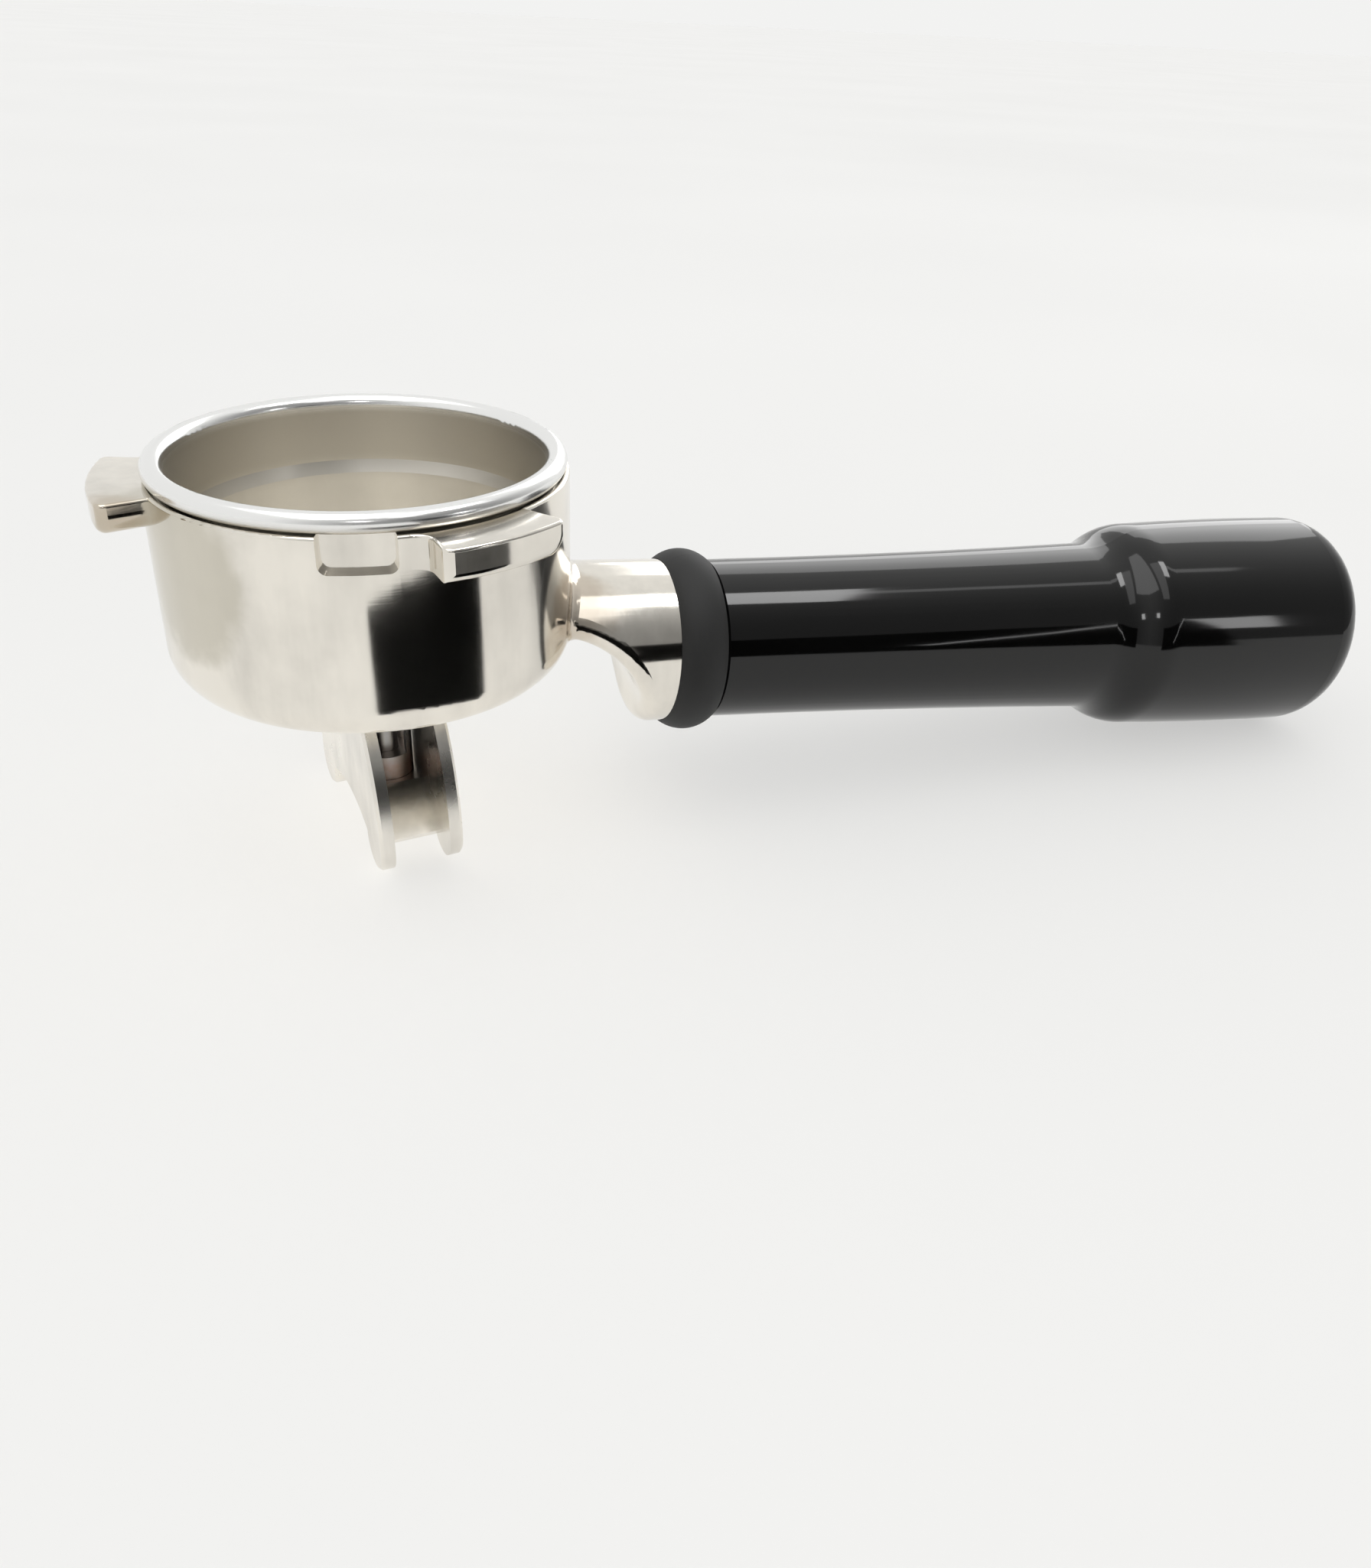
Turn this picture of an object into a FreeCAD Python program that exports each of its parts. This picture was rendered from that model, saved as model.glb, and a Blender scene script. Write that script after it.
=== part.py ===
"""Three-lug, twin-spout portafilter for a 54 mm group, as separate named pieces.

Frame: the origin is on the cup's axis, in the plane of the cup's top face. +Z is up and the
handle points along +X, drooping a little, so the part stands on the spout's tips and the grip.
"""
import FreeCAD, Part
import math
import os
import re

import Sketcher
from FreeCAD import Placement, Rotation, Vector

# Driving dimensions in millimetres and degrees. Stations are distances along the handle's axis
# from the cup's axis.
SIZES = {
    # Cup
    "cup_radius": 30.3,
    "cup_depth": 28.9,
    "cup_corner": 5.6,
    "corner_rise": 4.2,
    "bore_radius": 27.95,
    "floor_thick": 2.5,
    "bore_corner": 0.5,
    "spring_depth": 9.2,
    "spring_wire": 1.3,
    "spring_seat": 28.42,
    "drain_radius": 1.6,
    "drain_circle": 5.2,
    "notch_deep": 1.5,
    "notch_tall": 5.0,
    "notch_round": 1.3,
    # Bayonet lugs
    "lug_radius": 37.0,
    "lug_thick": 4.7,
    "lug_leading_round": 3.2,
    "lug_root_round": 2.5,
    "lug_corner_round": 1.3,
    "lug_edge_round": 0.5,
    # Handle's axis and the neck
    "axis_depth": 29.6,
    "handle_droop": 3.7,
    "neck_radius": 13.5,
    "neck_start": 24.0,
    "neck_under": 4.8,
    "arch_radius": 14.2,
    "arch_round": 2.6,
    "neck_root_round": 2.0,
    "disc_thick": 4.7,
    "collar_station": 46.1,
    "collar_width": 7.9,
    "collar_bulge": 5.8,
    "spigot_radius": 9.5,
    "tang_radius": 6.5,
    "tang_station": 80.0,
    "thread_length": 18.0,
    # Grip
    "grip_start_radius": 13.3,
    "grip_waist_radius": 15.3,
    "grip_waist_station": 127.5,
    "grip_swell_radius": 18.9,
    "grip_swell_station": 139.0,
    "grip_end_radius": 19.9,
    "grip_end_station": 181.0,
    "grip_end_round": 6.5,
    "grip_sag_radius": 2200.0,
    "grip_crown_radius": 700.0,
    "grip_bore_radius": 10.5,
    "cap_radius": 11.9,
    "cap_thick": 3.0,
    "cap_ring_radius": 9.75,
    "cap_ring_wire": 1.4,
    # Handle's inside
    "core_station": 150.0,
    "flute_radius": 1.4,
    "bolt_seat_station": 118.0,
    "bolt_radius": 3.0,
    "bolt_head_radius": 5.0,
    "bolt_head_tall": 6.0,
    "bolt_socket_across": 5.77,
    "bolt_washer_thick": 1.2,
    "bolt_spring_thick": 1.4,
    "pin_station": 49.0,
    "pin_length": 10.0,
    "pin_height": 8.0,
    "pin_radius": 1.0,
    # Basket
    "mouth_radius": 26.95,
    "sheet_thick": 0.7,
    "rim_radius": 1.5,
    "basket_depth": 22.6,
    "basket_low_radius": 25.6,
    "basket_hole": 0.35,
    "hole_pitch": 2.3,
    "rim_rise": 1.35,
    "band_depth": 7.5,
    "basket_step_radius": 26.3,
    "basket_round": 2.6,
    "basket_round_rise": 1.8,
    "band_fade": 2.0,
    # Spout
    "spout_turn": 9.0,
    "channel_width": 8.8,
    "plate_thick": 2.2,
    "spout_top": 29.5,
    "spout_bottom": 60.1,
    "tip_reach": 18.9,
    "tip_radius": 4.4,
    "channel_floor": 51.1,
    "floor_sheet": 1.8,
    "floor_curve": 24.0,
    "flank_radius": 31.5,
    "arch_rise": 2.2,
    "hub_radius": 8.5,
    "hub_tall": 4.5,
    "lip_drop": 5.2,
    "plate_bevel": 0.45,
    "window_bottom": 47.0,
    "window_tall": 6.0,
    "window_wide": 5.0,
    "tube_radius": 4.25,
    "tube_bore": 3.3,
    # Fasteners of the spout
    "screw_radius": 2.0,
    "screw_head_radius": 3.5,
    "screw_head_tall": 1.6,
    "washer_thick": 0.5,
    "cross_wide": 0.8,
    # Slot of a spring washer
    "slot_wide": 0.7,
    # Clearance between pieces that are only laid together
    "gap": 0.05,
}

# Lugs as (trailing end, leading end) in degrees about +Z. The leading ends are rounded below.
LUGS = ((163.5, 199.0), (-80.0, -49.5), (49.5, 80.0))
# The shallow notch in the cup's wall, as a pair of angles.
NOTCH = (-106.8, -87.2)
DRAINS = 4
FLUTES = 6
# Rings of holes in the basket's floor. Each holds six more than the one inside it.
RINGS = 10
# The wire spring is open over this much of the circle, in degrees.
SPRING_OPENING = 30
# How far a cutting shape stands clear of what it cuts, and how near counts as touching.
CLEAR = 1
TOUCH = 0.05

doc = FreeCAD.newDocument("portafilter")
sheet = doc.addObject("Spreadsheet::Sheet", "sizes")


def fill_sheet():
    """One row for each size: its name in column A, its number in column B."""
    for row, (name, number) in enumerate(SIZES.items(), start=1):
        sheet.set(f"A{row}", name)
        sheet.set(f"B{row}", str(number))
        sheet.setAlias(f"B{row}", name)
    doc.recompute()


def cells(text):
    """Point each size's name in an expression at its cell."""

    def point(match):
        word = match.group()
        return f"sizes.{word}" if word in SIZES else word

    return re.sub(r"[a-z_]{3,}", point, text)


def number(text):
    """The value of an expression of the sheet's sizes."""
    return float(sheet.evalExpression(text))


def new_body(name):
    """A body for one solid piece."""
    body = doc.addObject("PartDesign::Body", name)
    body.Label = name
    return body


def new_sketch(body, name, role="XZ_Plane", offset=None):
    """A sketch on one of the body's own origin planes, moved along its normal by an expression."""
    sketch = body.newObject("Sketcher::SketchObject", name)
    plane = next(f for f in body.Origin.OriginFeatures if f.Role == role)
    sketch.AttachmentSupport = [(plane, "")]
    sketch.MapMode = "FlatFace"
    if offset is not None:
        sketch.setExpression("AttachmentOffset.Base.z", cells(offset))
    return sketch


def hold(sketch, constraint, text=None):
    """Add a constraint, and bind its value to an expression if it has one."""
    index = sketch.addConstraint(constraint)
    if text is not None:
        sketch.setExpression(f"Constraints[{index}]", cells(text))


def arc_between(start, end, radius, side):
    """The short arc from start to end. Its centre is on the left or right of the way there."""
    middle = (start + end) * 0.5
    chord = end - start
    left = Vector(-chord.y, chord.x, 0).normalize()
    reach = math.sqrt(radius**2 - (chord.Length / 2) ** 2)
    centre = middle + left * (reach if side == "left" else -reach)
    first, last = (start, end) if side == "left" else (end, start)
    begin = math.atan2(first.y - centre.y, first.x - centre.x)
    finish = math.atan2(last.y - centre.y, last.x - centre.x)
    return Part.ArcOfCircle(Part.Circle(centre, Vector(0, 0, 1), radius), begin, finish)


def outline(sketch, corners):
    """A closed outline. A corner is (x, y), or (x, y, radius, side) where an arc leaves it."""
    points = [Vector(number(c[0]), number(c[1]), 0) for c in corners]
    ends = []
    for i, corner in enumerate(corners):
        start, end = points[i], points[(i + 1) % len(points)]
        if len(corner) == 2:
            side = sketch.addGeometry(Part.LineSegment(start, end))
            ends.append((side, 1, 2))
            continue
        side = sketch.addGeometry(arc_between(start, end, number(corner[2]), corner[3]))
        ends.append((side, 1, 2) if corner[3] == "left" else (side, 2, 1))
    for i, corner in enumerate(corners):
        side, first, _ = ends[i]
        before, _, last = ends[i - 1]
        hold(sketch, Sketcher.Constraint("Coincident", before, last, side, first))
        hold(sketch, Sketcher.Constraint("DistanceX", -1, 1, side, first, points[i].x), corner[0])
        hold(sketch, Sketcher.Constraint("DistanceY", -1, 1, side, first, points[i].y), corner[1])
        if len(corner) == 4:
            hold(sketch, Sketcher.Constraint("Radius", side, number(corner[2])), corner[2])


def circle(sketch, x, y, radius):
    """A circle held by its centre and radius."""
    centre = Vector(number(x), number(y), 0)
    side = sketch.addGeometry(Part.Circle(centre, Vector(0, 0, 1), number(radius)))
    hold(sketch, Sketcher.Constraint("DistanceX", -1, 1, side, 3, number(x)), x)
    hold(sketch, Sketcher.Constraint("DistanceY", -1, 1, side, 3, number(y)), y)
    hold(sketch, Sketcher.Constraint("Radius", side, number(radius)), radius)


def hexagon(sketch, across):
    """A regular hexagon about the origin, its width across corners given."""
    corners = []
    for i in range(6):
        corners.append((f"({across}) / 2 * cos({60 * i} deg)", f"({across}) / 2 * sin({60 * i} deg)"))
    outline(sketch, corners)


def spin(body, kind, name, sketch, axis="V_Axis"):
    """Turn a sketch right round an axis of its own, adding to the body or cutting it."""
    feature = body.newObject(f"PartDesign::{kind}", name)
    feature.Profile = sketch
    feature.ReferenceAxis = (sketch, [axis])
    feature.Angle = 360
    sketch.Visibility = False
    doc.recompute()
    return feature


def extrude(body, kind, name, sketch, length, reverse=False, both=False):
    """Pad or pocket a sketch by a length given as an expression."""
    feature = body.newObject(f"PartDesign::{kind}", name)
    feature.Profile = sketch
    feature.setExpression("Length", cells(length))
    feature.Reversed = reverse
    feature.Midplane = both
    doc.recompute()
    return feature


def cut_through(body, kind, name, sketch, **options):
    """A groove or a pocket, which must take material away."""
    before = body.Shape.Volume
    make = spin if kind == "Groove" else extrude
    feature = make(body, kind, name, sketch, **options)
    if body.Shape.Volume >= before:
        raise RuntimeError(f"{name} cuts nothing")
    return feature


def around(body, name, feature, count, role="Z_Axis"):
    """Repeat a feature evenly about one of the body's own axes."""
    pattern = body.newObject("PartDesign::PolarPattern", name)
    pattern.Originals = [feature]
    axis = next(f for f in body.Origin.OriginFeatures if f.Role == role)
    pattern.Axis = (axis, [""])
    pattern.Angle = 360
    pattern.Occurrences = count
    body.Tip = pattern
    doc.recompute()
    return pattern


def edges_where(shape, test):
    """Names of the edges whose middle point passes a test."""
    names = []
    for i, edge in enumerate(shape.Edges, start=1):
        if edge.Length < 1e-6:
            continue
        middle = edge.valueAt((edge.FirstParameter + edge.LastParameter) / 2)
        if test(edge, middle):
            names.append(f"Edge{i}")
    return names


def ease(body, name, radius, test, kind="Fillet"):
    """Round, or chamfer, the edges of the body's present shape that pass a test."""
    doc.recompute()
    base = body.Tip
    names = edges_where(base.Shape, test)
    if not names:
        raise RuntimeError(f"{name} finds no edge")
    feature = body.newObject(f"PartDesign::{kind}", name)
    feature.Base = (base, names)
    if kind == "Fillet":
        feature.setExpression("Radius", cells(radius))
    else:
        feature.setExpression("Size", cells(radius))
    doc.recompute()
    if not feature.isValid() or feature.Shape.isNull():
        raise RuntimeError(f"{name} fails on {names}")
    return feature


def lay_along_handle(body):
    """Give a body whose X axis is the handle's axis its place under the cup."""
    droop = Rotation(Vector(0, 1, 0), SIZES["handle_droop"])
    body.Placement = Placement(Vector(0, 0, -SIZES["axis_depth"]), droop)
    body.setExpression(".Placement.Base.z", cells("-axis_depth"))
    body.setExpression(".Placement.Rotation.Angle", cells("handle_droop"))


def lay_along_spout(body):
    """Turn a body about the cup's axis to face the way the spout does."""
    turn = Rotation(Vector(0, 0, 1), SIZES["spout_turn"])
    body.Placement = Placement(Vector(0, 0, 0), turn)
    body.setExpression(".Placement.Rotation.Angle", cells("spout_turn"))


def tilt_to_handle(sketch):
    """Lay a sketch of the XZ plane so that its own X axis is the handle's axis."""
    down = Rotation(Vector(0, 0, -1), SIZES["handle_droop"])
    sketch.AttachmentOffset = Placement(Vector(0, -SIZES["axis_depth"], 0), down)
    sketch.setExpression("AttachmentOffset.Base.y", cells("-axis_depth"))
    sketch.setExpression("AttachmentOffset.Rotation.Angle", cells("handle_droop"))


def polar(radius, angle):
    """A corner on a circle about the sketch's origin."""
    return f"({radius}) * cos({angle} deg)", f"({radius}) * sin({angle} deg)"


def sector(sketch, inner, outer, start, end):
    """A piece of a ring between two radii and two angles."""
    outline(sketch, [
        polar(inner, start),
        (*polar(outer, start), outer, "left"),
        polar(outer, end),
        (*polar(inner, end), inner, "right"),
    ])


def angle_of(point):
    """A point's bearing about Z, in degrees."""
    return math.degrees(math.atan2(point.y, point.x))


def near_angle(point, angle, within):
    """Whether a point's bearing about Z is within some degrees of an angle."""
    return abs((angle_of(point) - angle + 180) % 360 - 180) < within


def make_neck(body):
    """Round neck on the handle's axis, arched underneath, with the spigot and tang behind it."""
    profile = new_sketch(body, "neck_profile")
    tilt_to_handle(profile)
    outline(profile, [
        ("neck_start", "0"),
        ("neck_start", "neck_radius"),
        ("collar_station", "neck_radius"),
        ("collar_station", "spigot_radius"),
        ("collar_station + collar_width", "spigot_radius"),
        ("collar_station + collar_width", "tang_radius"),
        ("tang_station", "tang_radius"),
        ("tang_station", "0"),
    ])
    spin(body, "Revolution", "neck", profile, axis="H_Axis")
    arch = new_sketch(body, "arch_profile")
    tilt_to_handle(arch)
    crown = "collar_station - disc_thick - arch_radius"
    outline(arch, [
        (f"neck_start - {CLEAR}", f"-neck_radius - {CLEAR}"),
        (f"neck_start - {CLEAR}", "neck_under"),
        (crown, "neck_under", "arch_radius", "right"),
        (f"{crown} + arch_radius", "neck_under - arch_radius"),
        (f"{crown} + arch_radius", f"-neck_radius - {CLEAR}"),
    ])
    cut_through(body, "Pocket", "arch", arch, length="4 * neck_radius", both=True)
    ease(body, "neck_lower_round", "arch_round", on_arch)


def on_handle_axis(point):
    """A point's station along the handle's axis, and its height above it."""
    droop = math.radians(SIZES["handle_droop"])
    down = point.z + SIZES["axis_depth"]
    along = point.x * math.cos(droop) - down * math.sin(droop)
    return along, point.x * math.sin(droop) + down * math.cos(droop)


def on_arch(edge, at):
    """Whether an edge is one of the long lower edges of the neck."""
    along, above = on_handle_axis(at)
    outside = abs(at.y) > SIZES["neck_radius"] - SIZES["arch_round"]
    before_disc = along < SIZES["collar_station"] - SIZES["disc_thick"] / 2
    return outside and before_disc and abs(above) < SIZES["neck_under"] + TOUCH


def make_cup(body):
    """Straight cup with a rounded foot."""
    profile = new_sketch(body, "cup_profile")
    foot_inset = "cup_corner - sqrt(cup_corner ^ 2 - corner_rise ^ 2)"
    outline(profile, [
        ("0", "0"),
        ("0", "-cup_depth"),
        (f"cup_radius - ({foot_inset})", "-cup_depth", "cup_corner", "left"),
        ("cup_radius", "-cup_depth + corner_rise"),
        ("cup_radius", "0"),
    ])
    spin(body, "Revolution", "cup", profile)


def make_lugs(body):
    """Three bayonet lugs, each square at its trailing end and rounded below at its leading end."""
    sketch = new_sketch(body, "lug_profile", "XY_Plane")
    for trailing, leading in LUGS:
        sector(sketch, "cup_radius - 1", "lug_radius", trailing, leading)
    extrude(body, "Pad", "lugs", sketch, "lug_thick", reverse=True)
    thick = SIZES["lug_thick"]
    wall = SIZES["cup_radius"]

    def leading_lower(edge, at):
        radial = abs(at.z + thick) < TOUCH and wall < math.hypot(at.x, at.y) < SIZES["lug_radius"] - 1
        return radial and any(near_angle(at, leading, 0.5) for _, leading in LUGS)

    def trailing_root(edge, at):
        upright = abs(at.z + thick / 2) < TOUCH and abs(math.hypot(at.x, at.y) - wall) < TOUCH
        return upright and any(near_angle(at, trailing, 0.5) for trailing, _ in LUGS)

    def outer_corner(edge, at):
        upright = edge.BoundBox.ZLength > edge.Length - TOUCH
        return upright and outer_rim(edge, at)

    def outer_rim(edge, at):
        return abs(math.hypot(at.x, at.y) - SIZES["lug_radius"]) < TOUCH

    ease(body, "lug_lower_rounds", "lug_leading_round", leading_lower)
    ease(body, "lug_roots", "lug_root_round", trailing_root)
    ease(body, "lug_corners", "lug_corner_round", outer_corner)
    ease(body, "lug_rims", "lug_edge_round", outer_rim)


def bore_cup(body):
    """The bore with the spring's groove, and the screw's hole through the floor."""
    profile = new_sketch(body, "bore_profile")
    groove = "spring_seat + spring_wire / 2 + gap"
    half_groove = "(spring_wire / 2 + gap)"
    floor = "-(cup_depth - floor_thick)"
    outline(profile, [
        ("0", f"{CLEAR}"),
        ("0", f"-cup_depth - {CLEAR}"),
        ("screw_radius + 0.2", f"-cup_depth - {CLEAR}"),
        ("screw_radius + 0.2", floor),
        ("bore_radius - bore_corner", floor, "bore_corner", "left"),
        ("bore_radius", f"{floor} + bore_corner"),
        ("bore_radius", f"-spring_depth - {half_groove}"),
        (groove, f"-spring_depth - {half_groove}"),
        (groove, f"-spring_depth + {half_groove}"),
        ("bore_radius", f"-spring_depth + {half_groove}"),
        ("bore_radius", f"{CLEAR}"),
    ])
    cut_through(body, "Groove", "bore", profile)


def notch_wall(body):
    """Shallow notch in the wall under the rim, open at the top."""
    sketch = new_sketch(body, "notch_profile", "XY_Plane")
    sector(sketch, "cup_radius - notch_deep", f"cup_radius + {CLEAR}", *NOTCH)
    cut_through(body, "Pocket", "notch", sketch, length="notch_tall")

    def lower_corner(edge, at):
        at_floor = abs(at.z + SIZES["notch_tall"]) < TOUCH
        return at_floor and any(near_angle(at, end, 0.3) for end in NOTCH)

    ease(body, "notch_corners", "notch_round", lower_corner)


def drill_floor(body):
    """Drain holes round the screw."""
    sketch = new_sketch(body, "drain_profile", "XY_Plane", f"-cup_depth + floor_thick + {CLEAR}")
    circle(sketch, "drain_circle * cos(45 deg)", "drain_circle * sin(45 deg)", "drain_radius")
    hole = cut_through(body, "Pocket", "drain", sketch, length=f"floor_thick + 2 * {CLEAR}")
    around(body, "drains", hole, DRAINS)


def bore_tang(body):
    """Threaded hole for the tie bolt, and the blind hole for the pin that stops the grip turning."""
    profile = new_sketch(body, "thread_profile")
    tilt_to_handle(profile)
    outline(profile, [
        ("tang_station - thread_length", "0"),
        ("tang_station - thread_length", "bolt_radius + gap"),
        (f"tang_station + {CLEAR}", "bolt_radius + gap"),
        (f"tang_station + {CLEAR}", "0"),
    ])
    cut_through(body, "Groove", "thread", profile, axis="H_Axis")
    pin = new_sketch(body, "pin_profile")
    tilt_to_handle(pin)
    end = f"collar_station + collar_width + {CLEAR}"
    outline(pin, [
        ("pin_station", "pin_height"),
        ("pin_station", "pin_height + pin_radius + gap"),
        (end, "pin_height + pin_radius + gap"),
        (end, "pin_height"),
    ])
    height = SIZES["pin_height"]
    first, last = Vector(0, height, 0), Vector(SIZES["tang_station"], height, 0)
    line = pin.addGeometry(Part.LineSegment(first, last), True)
    hold(pin, Sketcher.Constraint("Horizontal", line))
    hold(pin, Sketcher.Constraint("DistanceY", -1, 1, line, 1, height), "pin_height")
    cut_through(body, "Groove", "pin_hole", pin, axis="Axis0")


def blend_neck(body):
    """Blend the neck into the cup's wall."""

    def neck_root(edge, at):
        along, _ = on_handle_axis(at)
        radius = math.hypot(at.x, at.y)
        at_wall = abs(radius - SIZES["cup_radius"]) < 0.6 or edge.BoundBox.ZLength > 3
        below_lugs = at.z < -2 * SIZES["lug_thick"]
        return at.x > 20 and along < SIZES["cup_radius"] + 1.5 and at_wall and below_lugs

    ease(body, "neck_root", "neck_root_round", neck_root)


def make_portafilter_body():
    """Cast cup with its lugs and neck, in one piece."""
    body = new_body("portafilter_body")
    make_neck(body)
    make_cup(body)
    blend_neck(body)
    make_lugs(body)
    bore_cup(body)
    notch_wall(body)
    drill_floor(body)
    bore_tang(body)


def make_basket():
    """Pressed filter basket with a rolled rim and rings of fine holes."""
    body = new_body("filter_basket")
    profile = new_sketch(body, "basket_profile")
    middle = "mouth_radius + rim_radius"
    inner_roll = "(rim_radius - sheet_thick)"
    outer_reach = "rim_radius * cos(45 deg)"
    foot = "-basket_depth + basket_round_rise"
    inner_reach = f"{inner_roll} * cos(45 deg)"
    outline(profile, [
        ("mouth_radius", "rim_rise", "rim_radius", "right"),
        (middle, "rim_rise + rim_radius", "rim_radius", "right"),
        (f"{middle} + {outer_reach}", f"rim_rise - {outer_reach}"),
        (f"{middle} + {inner_reach}", f"rim_rise - {inner_reach}", inner_roll, "left"),
        (middle, f"rim_rise + {inner_roll}", inner_roll, "left"),
        ("mouth_radius + sheet_thick", "rim_rise"),
        ("mouth_radius + sheet_thick", "-band_depth"),
        ("basket_step_radius + sheet_thick", "-band_depth - band_fade"),
        ("basket_low_radius + sheet_thick", foot, "basket_round", "right"),
        ("basket_low_radius + sheet_thick - 2.5", "-basket_depth - sheet_thick"),
        ("0", "-basket_depth - sheet_thick"),
        ("0", "-basket_depth"),
        ("basket_low_radius - basket_round_rise", "-basket_depth", "basket_round - sheet_thick", "left"),
        ("basket_low_radius", foot),
        ("basket_step_radius", "-band_depth - band_fade"),
        ("mouth_radius", "-band_depth"),
    ])
    spin(body, "Revolution", "shell", profile)
    for ring in range(1, RINGS + 1):
        sketch = new_sketch(body, f"ring_{ring}_profile", "XY_Plane", f"-basket_depth + {CLEAR}")
        circle(sketch, f"{ring} * hole_pitch", "0", "basket_hole")
        through = f"sheet_thick + 2 * {CLEAR}"
        hole = cut_through(body, "Pocket", f"ring_{ring}", sketch, length=through)
        around(body, f"ring_{ring}_holes", hole, 6 * ring)


def make_spout():
    """Bridge of two plates with a sloping channel between them, hung from a round hub."""
    body = new_body("double_spout")
    lay_along_spout(body)
    side = new_sketch(body, "side_profile", "YZ_Plane")
    centre = "(tip_reach - tip_radius)"
    tip = "-(spout_bottom - tip_radius)"
    low = "-spout_bottom"
    inner = "(tip_reach - 2 * tip_radius)"
    under = "((tip_reach - 2 * tip_radius) ^ 2 + arch_rise ^ 2) / (2 * arch_rise)"
    shoulder = "-(spout_top + 1.5)"
    outline(side, [
        ("-hub_radius + 0.5", shoulder),
        ("hub_radius - 0.5", shoulder, "flank_radius", "right"),
        ("tip_reach", tip, "tip_radius", "right"),
        (centre, low, "tip_radius", "right"),
        (inner, tip, under, "left"),
        (f"-{inner}", tip, "tip_radius", "right"),
        (f"-{centre}", low, "tip_radius", "right"),
        ("-tip_reach", tip, "flank_radius", "right"),
    ])
    extrude(body, "Pad", "plates", side, "channel_width + 2 * plate_thick", both=True)

    def plate_edge(edge, at):
        return abs(abs(at.x) - SIZES["channel_width"] / 2 - SIZES["plate_thick"]) < TOUCH

    ease(body, "plate_bevels", "plate_bevel", plate_edge, kind="Chamfer")
    hub = new_sketch(body, "hub_profile", "XY_Plane", "-spout_top")
    circle(hub, "0", "0", "hub_radius")
    extrude(body, "Pad", "hub", hub, "hub_tall", reverse=True)
    channel = new_sketch(body, "channel_profile", "YZ_Plane")
    roof = "-(spout_top + hub_tall)"
    bottom = f"-(spout_bottom + {CLEAR})"
    beyond = f"(tip_reach + {CLEAR})"
    outline(channel, [
        (f"-{beyond}", roof),
        (beyond, roof),
        (beyond, bottom),
        (f"-{beyond}", bottom),
    ])
    lip = f"({centre} - 0.6)"
    lip_top = "-(channel_floor + lip_drop)"
    outline(channel, [
        ("-tube_radius - 1", "-channel_floor"),
        ("tube_radius + 1", "-channel_floor", "floor_curve", "right"),
        (lip, lip_top),
        (f"{lip} - 1", f"{lip_top} - 1.2", "floor_curve", "left"),
        ("tube_radius + 1", "-channel_floor - floor_sheet"),
        ("-tube_radius - 1", "-channel_floor - floor_sheet", "floor_curve", "left"),
        (f"-{lip} + 1", f"{lip_top} - 1.2"),
        (f"-{lip}", lip_top, "floor_curve", "right"),
    ])
    cut_through(body, "Pocket", "channel", channel, length="channel_width", both=True)
    funnel = new_sketch(body, "funnel_profile")
    outline(funnel, [
        ("0", f"-spout_top + {CLEAR}"),
        ("0", f"{roof} - {CLEAR}"),
        ("tube_radius + gap", f"{roof} - {CLEAR}"),
        ("tube_radius + gap", f"{roof} + 1"),
        ("tube_bore", f"{roof} + 1"),
        ("hub_radius - 1.7", "-spout_top"),
        ("hub_radius - 1.7", f"-spout_top + {CLEAR}"),
    ])
    cut_through(body, "Groove", "funnel", funnel)


def make_outlet_tube():
    """Tube under the hub with a window on each side. The screw is threaded into its base."""
    body = new_body("spout_outlet_tube")
    lay_along_spout(body)
    profile = new_sketch(body, "tube_profile")
    head = "-(spout_top + hub_tall - 1 + gap)"
    base = "-(channel_floor - gap)"
    outline(profile, [
        ("tube_bore", head),
        ("tube_bore", "-window_bottom"),
        ("screw_radius + gap", "-window_bottom"),
        ("screw_radius + gap", base),
        ("tube_radius", base),
        ("tube_radius", head),
    ])
    spin(body, "Revolution", "tube", profile)
    window = new_sketch(body, "window_profile", "XZ_Plane")
    outline(window, [
        ("-window_wide / 2", "-window_bottom"),
        ("window_wide / 2", "-window_bottom"),
        ("window_wide / 2", "-window_bottom + window_tall"),
        ("-window_wide / 2", "-window_bottom + window_tall"),
    ])
    cut_through(body, "Pocket", "windows", window, length="4 * tube_radius", both=True)


def make_ring(name, inner, outer, start, thick, place=None, axis="V_Axis"):
    """A plain ring: about Z from a height downwards, or about X from a station onwards."""
    body = new_body(name)
    if place is not None:
        place(body)
    profile = new_sketch(body, f"{name}_profile")
    if axis == "V_Axis":
        end = f"{start} - ({thick})"
        outline(profile, [(inner, start), (outer, start), (outer, end), (inner, end)])
    else:
        end = f"{start} + {thick}"
        outline(profile, [(start, inner), (start, outer), (end, outer), (end, inner)])
    spin(body, "Revolution", f"{name}_ring", profile, axis=axis)
    return body


def split_ring(body, plane, reach, length):
    """Cut the narrow slot that makes a plain ring a spring washer."""
    sketch = new_sketch(body, f"{body.Label}_slot", plane)
    outline(sketch, [
        ("0", "-slot_wide / 2"),
        (reach, "-slot_wide / 2"),
        (reach, "slot_wide / 2"),
        ("0", "slot_wide / 2"),
    ])
    cut_through(body, "Pocket", f"{body.Label}_cut", sketch, length=length, both=True)


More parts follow.
